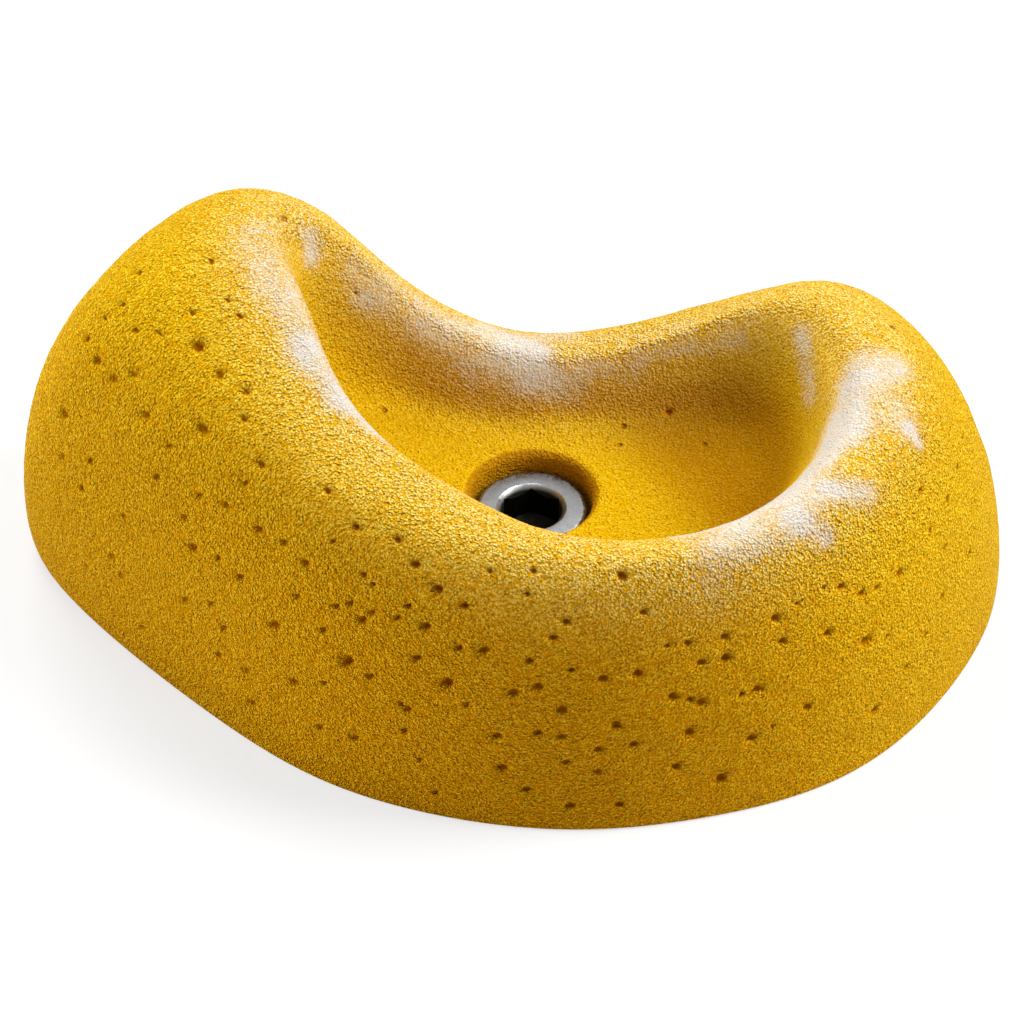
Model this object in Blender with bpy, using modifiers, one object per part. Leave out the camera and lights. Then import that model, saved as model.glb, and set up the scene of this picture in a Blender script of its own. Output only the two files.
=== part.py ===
"""Climbing hold: a cast resin bowl with its moulded-in steel washer and its fixing bolt.

Metres, +Z up and out of the climbing wall. The origin is on the bolt's axis, in the flat back
that lies against the wall. X runs along the hold, and -Y is the side of the wide front wall.
"""
import math

import bmesh
import bpy
import numpy as np

# Overall size of the resin in plan
HOLD_LENGTH = 0.147
HOLD_WIDTH = 0.0878

# Heights of the resin above its flat back
LEFT_LOBE_HEIGHT = 0.058
RIGHT_LOBE_HEIGHT = 0.049
NEAR_RIM_HEIGHT = 0.046
SADDLE_HEIGHT = 0.037
FLOOR_HEIGHT = 0.027
BOWL_FOOT_RISE = 0.004
WALL_SWELL = 0.0015

# Fixing bolt: a socket head cap screw
SHANK_DIAMETER = 0.010
SHANK_LENGTH = 0.040
SHANK_PLAIN_LENGTH = 0.008
THREAD_DEPTH = 0.0002
SHANK_TIP_CHAMFER = 0.0012
HEAD_DIAMETER = 0.016
HEAD_HEIGHT = 0.010
HEAD_EDGE_CHAMFER = 0.0007
HEAD_FOOT_CHAMFER = 0.0004
SOCKET_ACROSS_FLATS = 0.008
SOCKET_DEPTH = 0.005
SOCKET_POINT_DEPTH = 0.002
SOCKET_COUNTERSINK_DIAMETER = 0.0101
SOCKET_COUNTERSINK_DEPTH = 0.0011

# Washer moulded into the resin under the bolt's head
WASHER_DIAMETER = 0.024
WASHER_THICKNESS = 0.002
WASHER_EDGE_CHAMFER = 0.0003
WASHER_BACK_HEIGHT = 0.012

# Clearances
SEAT_GAP = 0.0003
SHANK_TO_WASHER = 0.0003
SHANK_TO_RESIN = 0.0005
HEAD_TO_RECESS = 0.0009

# Recess and bore in the resin
BRIM_RADIUS = 0.0016
BRIM_LIP = 0.0005
BORE_MOUTH_CHAMFER = 0.0008
CUTTER_OVERRUN = 0.004

# Facets
FACETS_PER_STATION = 4
WALL_ROWS = 15
BOWL_ROWS = 13
FLOOR_ROWS = 3
TURNED_STEPS = 64
BRIM_STEPS = 5

# Sizes that follow from the ones above
SHANK_RADIUS = SHANK_DIAMETER / 2
HEAD_RADIUS = HEAD_DIAMETER / 2
WASHER_TOP = WASHER_BACK_HEIGHT + WASHER_THICKNESS
HEAD_SEAT = WASHER_TOP + SEAT_GAP
WASHER_BORE_RADIUS = SHANK_RADIUS + SHANK_TO_WASHER
RESIN_BORE_RADIUS = SHANK_RADIUS + SHANK_TO_RESIN
RECESS_RADIUS = HEAD_RADIUS + HEAD_TO_RECESS
BRIM_OUTER_RADIUS = RECESS_RADIUS + BRIM_RADIUS
FLAT_RING_RADIUS = BRIM_OUTER_RADIUS + BRIM_LIP


def between(low, high, share):
    """The height that lies a share of the way from one height to another."""
    return low + (high - low) * share


# The stations' plan is in units of which the hold is so many long and so many wide.
PLAN_UNITS_LONG = 147
PLAN_UNITS_WIDE = 87.8

# Guide stations round the hold, anticlockwise from the middle of the front wall. Each one has
# the foot of the outer wall on the back (x, y), the crest (x, y) and the foot of the bowl's
# wall (x, y), all in plan units, then four shapes: how far the bowl's wall ends above the
# floor, as a share of the foot rise, how square the outer shoulder is, how far the outer wall
# swells, as a share of the swell, and how steep the bowl's wall is, from 0 to 1.
STATIONS = [
    ((0, -41), (1, -30.5), (2, -15.2), 0.2, 2.8, 0, 0.2),
    ((22, -39.5), (17, -32.5), (13.5, -16.7), 0.2, 2.8, 0, 0.2),
    ((42, -32.5), (31, -28), (24, -13.6), 0.35, 2.8, 0, 0.2),
    ((58, -18), (42.5, -17), (30, -7.4), 0.65, 2.6, 0, 0.2),
    ((69, 3), (48, -2), (32, 0.5), 0.9, 2, 0.3, 0.2),
    ((67, 20), (46.5, 12.5), (30, 9), 0.85, 2, 0.3, 0.2),
    ((53, 34.5), (39, 21.5), (23.2, 13.6), 0.6, 2.4, 0, 0.2),
    ((36, 38.5), (26, 21.5), (14.5, 14.2), 0.35, 2.7, 0, 0.2),
    ((15, 35), (12, 20.5), (5.5, 13.8), 0.2, 2.9, 0, 0.2),
    ((-3, 33.5), (-2, 21), (-5, 13.8), 0.2, 2.9, 0, 0.2),
    ((-20, 37.5), (-17, 25), (-14, 14.5), 0.4, 2.9, 0, 0.2),
    ((-37, 44.5), (-29, 28.5), (-22.5, 15), 0.75, 2.8, 0, 0.2),
    ((-56, 45), (-38, 25.5), (-27, 12.5), 1, 2.6, 0.3, 0.4),
    ((-71.5, 31), (-36, 12.5), (-26, 7.5), 0.8, 2.5, 1, 0.8),
    ((-73, 12.5), (-32, 0.5), (-24, 0.5), 0.5, 2.4, 1, 0.9),
    ((-48, -17), (-24.5, -13), (-17.8, -6.9), 0.3, 2.7, 0.3, 0.6),
    ((-25, -34.3), (-12.7, -22.7), (-7.4, -12.8), 0.25, 3, 0, 0.4),
]

# The crest's height at each of those stations
CREST_HEIGHTS = [
    NEAR_RIM_HEIGHT,
    NEAR_RIM_HEIGHT,
    between(NEAR_RIM_HEIGHT, RIGHT_LOBE_HEIGHT, 0.25),
    between(NEAR_RIM_HEIGHT, RIGHT_LOBE_HEIGHT, 0.65),
    RIGHT_LOBE_HEIGHT,
    RIGHT_LOBE_HEIGHT,
    between(SADDLE_HEIGHT, RIGHT_LOBE_HEIGHT, 0.82),
    between(SADDLE_HEIGHT, RIGHT_LOBE_HEIGHT, 0.42),
    between(SADDLE_HEIGHT, RIGHT_LOBE_HEIGHT, 0.04),
    SADDLE_HEIGHT,
    between(SADDLE_HEIGHT, LEFT_LOBE_HEIGHT, 0.29),
    between(SADDLE_HEIGHT, LEFT_LOBE_HEIGHT, 0.8),
    LEFT_LOBE_HEIGHT,
    LEFT_LOBE_HEIGHT,
    between(NEAR_RIM_HEIGHT, LEFT_LOBE_HEIGHT, 0.84),
    between(NEAR_RIM_HEIGHT, LEFT_LOBE_HEIGHT, 0.46),
    between(NEAR_RIM_HEIGHT, LEFT_LOBE_HEIGHT, 0.17),
]


def make_collections():
    """Two collections: one for the parts and one for the cutters."""
    for old in list(bpy.data.objects):
        bpy.data.objects.remove(old, do_unlink=True)
    parts = bpy.data.collections.new("climbing_hold")
    cutters = bpy.data.collections.new("cutters")
    for collection in (parts, cutters):
        bpy.context.scene.collection.children.link(collection)
    return parts, cutters


def make_material(name, colour, roughness, metallic):
    """A Principled BSDF with one colour, roughness and metallic value."""
    material = bpy.data.materials.new(name)
    material.use_nodes = True
    shader = material.node_tree.nodes["Principled BSDF"]
    shader.inputs["Base Color"].default_value = (*colour, 1)
    shader.inputs["Roughness"].default_value = roughness
    shader.inputs["Metallic"].default_value = metallic
    material.diffuse_color = (*colour, 1)
    return material


def new_object(name, mesh, collection):
    """Put a mesh into the scene as a named object."""
    part = bpy.data.objects.new(name, mesh)
    collection.objects.link(part)
    return part


def hide_cutter(cutter):
    """A cutter shows as wire and isn't rendered."""
    cutter.hide_render = True
    cutter.display_type = "WIRE"


def closed_curve(points, where):
    """A smooth closed curve through the points, read at places counted in points.

    The slopes solve the cubic spline's equations: at each point, the neighbours' slopes and
    four times its own add up to three times the step from the one neighbour to the other.
    """
    count = len(points)
    after = np.roll(np.eye(count), 1, axis=1)
    sums = 4 * np.eye(count) + after + after.T
    slopes = np.linalg.solve(sums, 3 * (after @ points - after.T @ points))
    start = np.floor(where).astype(int) % count
    end = (start + 1) % count
    u = (where - np.floor(where))[:, None]
    return (
        (2 * u**3 - 3 * u**2 + 1) * points[start]
        + (u**3 - 2 * u**2 + u) * slopes[start]
        + (3 * u**2 - 2 * u**3) * points[end]
        + (u**3 - u**2) * slopes[end]
    )


def guides(around):
    """The stations' values carried smoothly round the hold, one row for each facet."""
    where = np.arange(around) * len(STATIONS) / around
    unit = (HOLD_LENGTH / PLAN_UNITS_LONG, HOLD_WIDTH / PLAN_UNITS_WIDE)
    plan = np.array([(*base, *crest, *foot) for base, crest, foot, *_ in STATIONS]) * (unit * 3)
    shape = np.array([station[3:] for station in STATIONS], dtype=float)
    values = closed_curve(np.column_stack([plan, CREST_HEIGHTS, shape]), where)
    base, crest, foot = values[:, 0:2], values[:, 2:4], values[:, 4:6]
    crest_height, foot_share, square, swell, steep = values[:, 6:].T
    foot_rise = BOWL_FOOT_RISE * foot_share
    floor_run = np.linalg.norm(foot, axis=1) - FLAT_RING_RADIUS
    along = np.roll(base, -1, axis=0) - np.roll(base, 1, axis=0)
    outward = np.stack([along[:, 1], -along[:, 0]], axis=1)
    return {
        "base": base,
        "outward": outward / np.linalg.norm(outward, axis=1)[:, None],
        "crest": np.column_stack([crest, crest_height]),
        "foot": np.column_stack([foot, FLOOR_HEIGHT + foot_rise]),
        "foot_slope": 2 * foot_rise / floor_run,
        "square": square,
        "swell": WALL_SWELL * swell,
        "steep": steep,
    }


def wall_row(guide, share):
    """A row of the outer wall: a quarter of a superellipse from the back up to the crest."""
    angle = share * math.pi / 2
    square = guide["square"]
    reach = (math.cos(angle) ** square + math.sin(angle) ** square) ** (-1 / square)
    inward = 1 - math.cos(angle) * reach
    rise = math.sin(angle) * reach
    bulge = guide["swell"] * np.sin(math.pi * np.sqrt(np.minimum(rise, 1)))
    plan = guide["base"] + (guide["crest"][:, :2] - guide["base"]) * inward[:, None]
    plan = plan + guide["outward"] * bulge[:, None]
    return np.column_stack([plan, guide["crest"][:, 2] * rise])


def bowl_row(guide, share):
    """A row of the bowl's wall: an S from the level crest down to its foot.

    The S is half a cosine wave, cut short so that it ends with the slope the floor starts with.
    """
    crest, foot, steep = guide["crest"], guide["foot"], guide["steep"]
    run = np.linalg.norm(crest[:, :2] - foot[:, :2], axis=1)
    fall = crest[:, 2] - foot[:, 2]
    wave = math.pi - 2 * guide["foot_slope"] * run * (1 + steep) / (math.pi * fall)
    across = share + steep * math.sin(2 * math.pi * share) / (2 * math.pi)
    drop = (1 - np.cos(wave * share)) / (1 - np.cos(wave))
    plan = crest[:, :2] + (foot[:, :2] - crest[:, :2]) * across[:, None]
    return np.column_stack([plan, crest[:, 2] - fall * drop])


def floor_row(guide, share):
    """A row of the bowl's floor, which levels out to a flat ring round the recess."""
    foot = guide["foot"]
    spread = np.linalg.norm(foot[:, :2], axis=1)[:, None]
    ring = foot[:, :2] / spread * FLAT_RING_RADIUS
    plan = foot[:, :2] + (ring - foot[:, :2]) * share
    fade = (1 - share) ** 2
    return np.column_stack([plan, FLOOR_HEIGHT + (foot[:, 2] - FLOOR_HEIGHT) * fade])


def loft_rows():
    """All rows of the resin's skin, from the back's edge over the crest to the floor."""
    guide = guides(FACETS_PER_STATION * len(STATIONS))
    rows = [wall_row(guide, step / WALL_ROWS) for step in range(WALL_ROWS)]
    rows += [bowl_row(guide, step / BOWL_ROWS) for step in range(BOWL_ROWS)]
    rows += [floor_row(guide, step / FLOOR_ROWS) for step in range(FLOOR_ROWS + 1)]
    return rows


def loft(rows, name):
    """Quads between neighbouring rows, closed by the flat back and by a flat floor."""
    around = len(rows[0])
    shape = bmesh.new()
    rings = [[shape.verts.new(point) for point in row] for row in rows]
    for lower, upper in zip(rings, rings[1:]):
        for i in range(around):
            j = (i + 1) % around
            shape.faces.new((lower[i], lower[j], upper[j], upper[i]))
    shape.faces.new(rings[0][::-1])
    shape.faces.new(rings[-1])
    mesh = bpy.data.meshes.new(name)
    shape.to_mesh(mesh)
    shape.free()
    return mesh


def turned(name, profile, collection, closed=False):
    """A body of revolution about Z, from (radius, height) points that run top to bottom."""
    edges = [(i, i + 1) for i in range(len(profile) - 1)]
    if closed:
        edges.append((len(profile) - 1, 0))
    mesh = bpy.data.meshes.new(name)
    mesh.from_pydata([(radius, 0, height) for radius, height in profile], edges, [])
    part = new_object(name, mesh, collection)
    screw = part.modifiers.new("turn", "SCREW")
    screw.axis = "Z"
    screw.steps = TURNED_STEPS
    screw.render_steps = TURNED_STEPS
    screw.use_merge_vertices = True
    screw.merge_threshold = 0.00001
    screw.use_smooth_shade = False
    return part


def cut(part, cutter):
    """Take the cutter's shape out of the part."""
    boolean = part.modifiers.new("cut_" + cutter.name, "BOOLEAN")
    boolean.operation = "DIFFERENCE"
    boolean.solver = "EXACT"
    boolean.object = cutter


def brim_profile():
    """The rounded brim of the recess: an arc that leaves the floor and ends in the wall."""
    top_angle = math.radians(98)
    points = []
    for step in range(BRIM_STEPS + 1):
        angle = top_angle + (math.pi - top_angle) * step / BRIM_STEPS
        radius = BRIM_OUTER_RADIUS + BRIM_RADIUS * math.cos(angle)
        height = FLOOR_HEIGHT - BRIM_RADIUS * (1 - math.sin(angle))
        points.append((radius, height))
    lip_slope = math.tan(math.pi / 2 - (math.pi - top_angle))
    first_radius, first_height = points[0]
    lip = (first_radius + BRIM_LIP, first_height - BRIM_LIP * lip_slope)
    return [lip] + points


def make_bore_cutter(collection):
    """One turned cutter: brim, recess for the head, room for the washer, and bore."""
    groove_radius = WASHER_DIAMETER / 2 + SEAT_GAP
    groove_top = WASHER_TOP + SEAT_GAP
    groove_foot = WASHER_BACK_HEIGHT - SEAT_GAP
    brim = brim_profile()
    above = LEFT_LOBE_HEIGHT + CUTTER_OVERRUN
    mouth_radius = RESIN_BORE_RADIUS + BORE_MOUTH_CHAMFER
    profile = [(0, above), (brim[0][0], above)]
    profile += brim
    profile += [
        (RECESS_RADIUS, groove_top),
        (groove_radius, groove_top),
        (groove_radius, groove_foot),
        (RESIN_BORE_RADIUS, groove_foot),
        (RESIN_BORE_RADIUS, BORE_MOUTH_CHAMFER),
        (mouth_radius + CUTTER_OVERRUN, -CUTTER_OVERRUN),
        (0, -CUTTER_OVERRUN),
    ]
    cutter = turned("bore_cutter", profile, collection)
    hide_cutter(cutter)
    return cutter


def make_hold_body(collection, bore_cutter):
    """The cast resin: lofted skin, flat back, and the recess and bore cut out."""
    part = new_object("hold_body", loft(loft_rows(), "hold_body"), collection)
    part.data.materials.append(make_material("cast_resin", (0.72, 0.40, 0.01), 0.85, 0))
    cut(part, bore_cutter)
    part.data.shade_smooth()
    part.data.set_sharp_from_angle(angle=math.radians(35))
    return part


def make_seat_washer(collection):
    """The plain steel washer that spreads the head's load in the resin."""
    inner, outer = WASHER_BORE_RADIUS, WASHER_DIAMETER / 2
    foot, top, chamfer = WASHER_BACK_HEIGHT, WASHER_TOP, WASHER_EDGE_CHAMFER
    profile = [
        (outer - chamfer, top),
        (outer, top - chamfer),
        (outer, foot + chamfer),
        (outer - chamfer, foot),
        (inner, foot),
        (inner, top),
    ]
    part = turned("seat_washer", profile, collection, closed=True)
    part.data.materials.append(make_material("zinc_steel", (0.55, 0.56, 0.57), 0.4, 1))
    return part


def make_socket_cutters(collection):
    """The hexagon with corners on the Y axis, its drilled point and its countersink."""
    hexagon = bpy.data.meshes.new("socket_cutter")
    shape = bmesh.new()
    height = SOCKET_DEPTH + CUTTER_OVERRUN
    corner_radius = SOCKET_ACROSS_FLATS / math.sqrt(3)
    bmesh.ops.create_cone(
        shape, cap_ends=True, segments=6, radius1=corner_radius, radius2=corner_radius, depth=height
    )
    bmesh.ops.translate(shape, verts=shape.verts, vec=(0, 0, HEAD_HEIGHT - SOCKET_DEPTH + height / 2))
    shape.to_mesh(hexagon)
    shape.free()
    socket = new_object("socket_cutter", hexagon, collection)
    flat_radius = SOCKET_ACROSS_FLATS / 2
    floor = HEAD_HEIGHT - SOCKET_DEPTH
    overlap = SOCKET_POINT_DEPTH / 4
    slope = SOCKET_POINT_DEPTH / flat_radius
    point_radius = flat_radius * 0.985
    point = turned(
        "socket_point_cutter",
        [
            (0, floor + overlap),
            (point_radius, floor + overlap),
            (point_radius, floor),
            (0, floor - slope * point_radius),
        ],
        collection,
    )
    sink_radius = SOCKET_COUNTERSINK_DIAMETER / 2
    sink_slope = SOCKET_COUNTERSINK_DEPTH / (sink_radius - flat_radius)
    above = CUTTER_OVERRUN / 4
    sink = turned(
        "countersink_cutter",
        [
            (0, HEAD_HEIGHT + above),
            (sink_radius + above / sink_slope, HEAD_HEIGHT + above),
            (0, HEAD_HEIGHT - sink_slope * sink_radius),
        ],
        collection,
    )
    cutters = (socket, point, sink)
    for cutter in cutters:
        cutter.location.z = HEAD_SEAT
        hide_cutter(cutter)
    return cutters


def make_fixing_bolt(collection, cutters):
    """The cap screw: turned head and shank about its own axis, with its hexagon socket."""
    plain_end = -SHANK_PLAIN_LENGTH
    thread_radius = SHANK_RADIUS - THREAD_DEPTH
    edge, foot, tip = HEAD_EDGE_CHAMFER, HEAD_FOOT_CHAMFER, SHANK_TIP_CHAMFER
    profile = [
        (0, HEAD_HEIGHT),
        (HEAD_RADIUS - edge, HEAD_HEIGHT),
        (HEAD_RADIUS - edge * 0.3, HEAD_HEIGHT - edge * 0.3),
        (HEAD_RADIUS, HEAD_HEIGHT - edge),
        (HEAD_RADIUS, foot),
        (HEAD_RADIUS - foot, 0),
        (SHANK_RADIUS, 0),
        (SHANK_RADIUS, plain_end),
        (thread_radius, plain_end - THREAD_DEPTH),
        (thread_radius, tip - SHANK_LENGTH),
        (thread_radius - tip, -SHANK_LENGTH),
        (0, -SHANK_LENGTH),
    ]
    part = turned("fixing_bolt", profile, collection)
    part.location.z = HEAD_SEAT
    part.data.materials.append(make_material("stainless_steel", (0.62, 0.62, 0.61), 0.3, 1))
    for cutter in cutters:
        cut(part, cutter)
    return part


def main():
    """Build every piece of the hold where it sits when it is bolted up."""
    parts, cutters = make_collections()
    make_hold_body(parts, make_bore_cutter(cutters))
    make_seat_washer(parts)
    make_fixing_bolt(parts, make_socket_cutters(cutters))


main()
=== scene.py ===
"""Climbing hold, dressed: cast resin with pinholes and chalk, its washer and its bolt."""
import math

import bpy
import numpy as np
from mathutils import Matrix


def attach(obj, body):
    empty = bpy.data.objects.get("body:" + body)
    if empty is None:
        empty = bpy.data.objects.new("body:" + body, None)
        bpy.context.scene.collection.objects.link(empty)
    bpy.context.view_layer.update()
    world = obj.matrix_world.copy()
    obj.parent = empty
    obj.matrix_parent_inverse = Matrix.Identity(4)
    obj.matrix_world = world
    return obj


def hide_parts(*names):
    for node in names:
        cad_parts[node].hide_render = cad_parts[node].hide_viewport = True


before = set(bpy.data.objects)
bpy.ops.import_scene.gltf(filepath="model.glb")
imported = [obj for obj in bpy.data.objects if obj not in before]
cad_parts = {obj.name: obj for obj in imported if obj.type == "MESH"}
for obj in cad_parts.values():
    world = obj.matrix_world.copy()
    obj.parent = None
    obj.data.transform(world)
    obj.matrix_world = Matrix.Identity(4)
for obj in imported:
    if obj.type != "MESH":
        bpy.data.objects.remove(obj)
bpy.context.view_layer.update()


# Camera
# The photograph is taken close up, from above the wide front wall. What sits on a spot of
# the photograph, such as a pinhole or a chalk mark, finds its place through this camera.
MM = 0.001
PHOTO_SIZE = 1024
FILM_WIDTH = 36.0
LENS_LENGTH = 126.14
CAMERA_PLACE = (-2.826 * MM, -386.959 * MM, 371.666 * MM)
CAMERA_TILT = math.radians(48)


def new_object(name, data):
    """A new object, put into the scene."""
    made = bpy.data.objects.new(name, data)
    bpy.context.scene.collection.objects.link(made)
    return made


lens = bpy.data.cameras.new("camera")
lens.lens = LENS_LENGTH
lens.sensor_width = FILM_WIDTH
camera = new_object("camera", lens)
camera.location = CAMERA_PLACE
camera.rotation_euler = (CAMERA_TILT, 0, 0)
bpy.context.scene.camera = camera


def in_photo(points):
    """Where points show: pixels to the right, pixels down, and distance along the view.

    The step from the camera to a point is split along the camera's right, up and view
    directions. Right and up, divided by the distance and times the lens, are the pixels.
    """
    step = points - np.array(CAMERA_PLACE)
    sine, cosine = math.sin(CAMERA_TILT), math.cos(CAMERA_TILT)
    up = step[..., 1] * cosine + step[..., 2] * sine
    far = step[..., 1] * sine - step[..., 2] * cosine
    zoom = LENS_LENGTH / FILM_WIDTH * PHOTO_SIZE
    middle = PHOTO_SIZE / 2
    return middle + zoom * step[..., 0] / far, middle - zoom * up / far, far


# Resin body
# One casting of polyurethane resin with a sand texture, poured in a soft mould, its back
# ground flat. Air left in the mould makes the pinholes, and hands leave the chalk.
LEFT_LOBE_HEIGHT = 58 * MM
RIGHT_LOBE_HEIGHT = 49 * MM
NEAR_RIM_HEIGHT = 46 * MM
SADDLE_HEIGHT = 37 * MM
FLOOR_HEIGHT = 27 * MM
BOWL_FOOT_RISE = 4 * MM
WALL_SWELL = 1.5 * MM
RECESS_RADIUS = 8.9 * MM
BRIM_RADIUS = 1.6 * MM
BRIM_OUTER_RADIUS = RECESS_RADIUS + BRIM_RADIUS
FLAT_RING_RADIUS = BRIM_OUTER_RADIUS + 0.5 * MM
WASHER_ROOM_RADIUS = 12.3 * MM
WASHER_ROOM_TOP = 14.3 * MM
WASHER_ROOM_FOOT = 11.7 * MM
BORE_RADIUS = 5.5 * MM
BORE_MOUTH = 0.8 * MM
COLUMNS = 600
EDGE_ROWS = 3
WALL_ROWS = 116
BOWL_ROWS = 46
FLOOR_ROWS = 9
BRIM_POINTS = 9
RECESS_POINTS = 9
BACK_SHARES = (0.2, 0.4, 0.6, 0.8)
LAST_BACK_SHARE = 0.93
EDGE_SHARE = 0.005
PROFILES_PER_STATION = 4
PROFILE_STEPS = 300
SHARP_ANGLE = math.radians(50)

# Stations round the hold, anticlockwise from the middle of the front wall: foot of the outer
# wall (x, y), crest (x, y) and foot of the bowl's wall (x, y) in millimetres, then how far the
# bowl's wall ends above the floor, as a share of the foot rise, how square the shoulder is,
# how far the wall swells, as a share of the swell, and how steep the bowl's wall is, 0 to 1.
STATIONS = [
    ((0, -41), (1, -30.5), (2, -15.2), 0.2, 2.8, 0, 0.2),
    ((22, -39.5), (17, -32.5), (13.5, -16.7), 0.2, 2.8, 0, 0.2),
    ((42, -32.5), (31, -28), (24, -13.6), 0.35, 2.8, 0, 0.2),
    ((58, -18), (42.5, -17), (30, -7.4), 0.65, 2.6, 0, 0.2),
    ((69, 3), (48, -2), (32, 0.5), 0.9, 2, 0.3, 0.2),
    ((67, 20), (46.5, 12.5), (30, 9), 0.85, 2, 0.3, 0.2),
    ((53, 34.5), (39, 21.5), (23.2, 13.6), 0.6, 2.4, 0, 0.2),
    ((36, 38.5), (26, 21.5), (14.5, 14.2), 0.35, 2.7, 0, 0.2),
    ((15, 35), (12, 20.5), (5.5, 13.8), 0.2, 2.9, 0, 0.2),
    ((-3, 33.5), (-2, 21), (-5, 13.8), 0.2, 2.9, 0, 0.2),
    ((-20, 37.5), (-17, 25), (-14, 14.5), 0.4, 2.9, 0, 0.2),
    ((-37, 44.5), (-29, 28.5), (-22.5, 15), 0.75, 2.8, 0, 0.2),
    ((-56, 45), (-38, 25.5), (-27, 12.5), 1, 2.6, 0.3, 0.4),
    ((-71, 30.8), (-36, 12.5), (-26, 7.5), 0.8, 2.7, 1, 0.8),
    ((-73, 12.5), (-32, 0.5), (-24, 0.5), 0.5, 2.4, 1, 0.9),
    ((-48, -17), (-24.5, -13), (-17.8, -6.9), 0.3, 2.7, 0.3, 0.6),
    ((-25, -34.3), (-12.7, -22.7), (-7.4, -12.8), 0.25, 3, 0, 0.4),
]


def between(low, high, share):
    """The value that lies a share of the way from one value to another."""
    return low + (high - low) * share


CREST_HEIGHTS = [
    between(low, high, share)
    for low, high, shares in (
        (NEAR_RIM_HEIGHT, RIGHT_LOBE_HEIGHT, (0, 0, 0.25, 0.65, 1)),
        (SADDLE_HEIGHT, RIGHT_LOBE_HEIGHT, (1, 0.82, 0.42, 0.04, 0)),
        (SADDLE_HEIGHT, LEFT_LOBE_HEIGHT, (0.29, 0.8, 1)),
        (NEAR_RIM_HEIGHT, LEFT_LOBE_HEIGHT, (1, 0.84, 0.46, 0.17)),
    )
    for share in shares
]


def closed_curve(points, where):
    """A smooth closed curve through the points, read at places counted in points.

    The slopes solve the cubic spline's equations: at each point, the neighbours' slopes and
    four times its own add up to three times the step from the one neighbour to the other.
    """
    count = len(points)
    after = np.roll(np.eye(count), 1, axis=1)
    sums = 4 * np.eye(count) + after + after.T
    slopes = np.linalg.solve(sums, 3 * (after @ points - after.T @ points))
    start = np.floor(where).astype(int) % count
    end = (start + 1) % count
    u = (where - np.floor(where))[..., None]
    return (
        (2 * u**3 - 3 * u**2 + 1) * points[start]
        + (u**3 - 2 * u**2 + u) * slopes[start]
        + (3 * u**2 - 2 * u**3) * points[end]
        + (u**3 - u**2) * slopes[end]
    )


def guide(where):
    """The stations' values at places round the hold, in metres, and the way outward in plan.

    Outward is square to the step between two near places on the outer wall's foot.
    """
    plan = np.array([(*base, *crest, *foot) for base, crest, foot, *_ in STATIONS]) * MM
    shape = np.array([station[3:] for station in STATIONS], dtype=float)
    table = np.column_stack([plan, CREST_HEIGHTS, shape])
    foot_curve = table[:, :2]
    near = 0.01
    along = closed_curve(foot_curve, where + near) - closed_curve(foot_curve, where - near)
    outward = np.stack([along[..., 1], -along[..., 0]], axis=-1)
    outward /= np.linalg.norm(outward, axis=-1, keepdims=True)
    return closed_curve(table, where), outward


def outer_wall(where, share):
    """The outer wall, from the back (share 0) up to the crest (share 1).

    Each profile is a quarter of a superellipse: with angle a, both cosine and sine of a are
    stretched until their powers add up to one. A sine over the root of its height lets the
    wall swell, most a quarter of the way up.
    """
    values, outward = guide(where)
    base, crest, height = values[..., 0:2], values[..., 2:4], values[..., 6]
    square, swell = values[..., 8], values[..., 9] * WALL_SWELL
    angle = share * math.pi / 2
    sine, cosine = np.sin(angle), np.abs(np.cos(angle))
    reach = (cosine**square + sine**square) ** (-1 / square)
    inward, rise = 1 - cosine * reach, sine * reach
    bulge = swell * np.sin(math.pi * np.sqrt(np.minimum(rise, 1)))
    plan = base + (crest - base) * inward[..., None] + outward * bulge[..., None]
    return np.concatenate([plan, (height * rise)[..., None]], axis=-1)


def bowl_wall(where, share):
    """The bowl's wall, from the crest (share 0) down to its foot (share 1).

    Height falls by half a cosine wave, cut short so that it ends with the slope the floor
    starts with. The way across gets a sine on top, which makes the wall steeper in its middle.
    """
    values, _ = guide(where)
    crest, foot, height = values[..., 2:4], values[..., 4:6], values[..., 6]
    rise, steep = values[..., 7] * BOWL_FOOT_RISE, values[..., 10]
    foot_slope = 2 * rise / (np.linalg.norm(foot, axis=-1) - FLAT_RING_RADIUS)
    run = np.linalg.norm(crest - foot, axis=-1)
    fall = height - FLOOR_HEIGHT - rise
    wave = math.pi - 2 * foot_slope * run * (1 + steep) / (math.pi * fall)
    across = share + steep * np.sin(2 * math.pi * share) / (2 * math.pi)
    drop = (1 - np.cos(wave * share)) / (1 - np.cos(wave))
    plan = crest + (foot - crest) * across[..., None]
    return np.concatenate([plan, (height - fall * drop)[..., None]], axis=-1)


def bowl_floor(where, share):
    """The floor, from the wall's foot (share 0) to the flat ring round the recess (share 1).

    In plan it runs straight in toward the axis. Its rise over the ring dies away as a square.
    """
    values, _ = guide(where)
    foot, rise = values[..., 4:6], values[..., 7] * BOWL_FOOT_RISE
    spread = np.linalg.norm(foot, axis=-1, keepdims=True)
    ring = foot / spread * FLAT_RING_RADIUS
    plan = foot + (ring - foot) * share[..., None]
    return np.concatenate([plan, (FLOOR_HEIGHT + rise * (1 - share) ** 2)[..., None]], axis=-1)


def even_shares(surface, first, steps):
    """Shares from first to 1 that leave equal steps along the surface.

    The length of the profiles, as their mean round the hold, is added up step by step, and
    equal parts of it are read back as shares.
    """
    profiles = np.arange(0, len(STATIONS), 1 / PROFILES_PER_STATION)
    where, fine = np.meshgrid(profiles, np.linspace(first, 1, PROFILE_STEPS + 1))
    grid = surface(where, fine)
    length = np.linalg.norm(np.diff(grid, axis=0), axis=2).mean(axis=1)
    along = np.concatenate([[0], np.cumsum(length)])
    return np.interp(np.linspace(0, along[-1], steps + 1), along, fine[:, 0])


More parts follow.
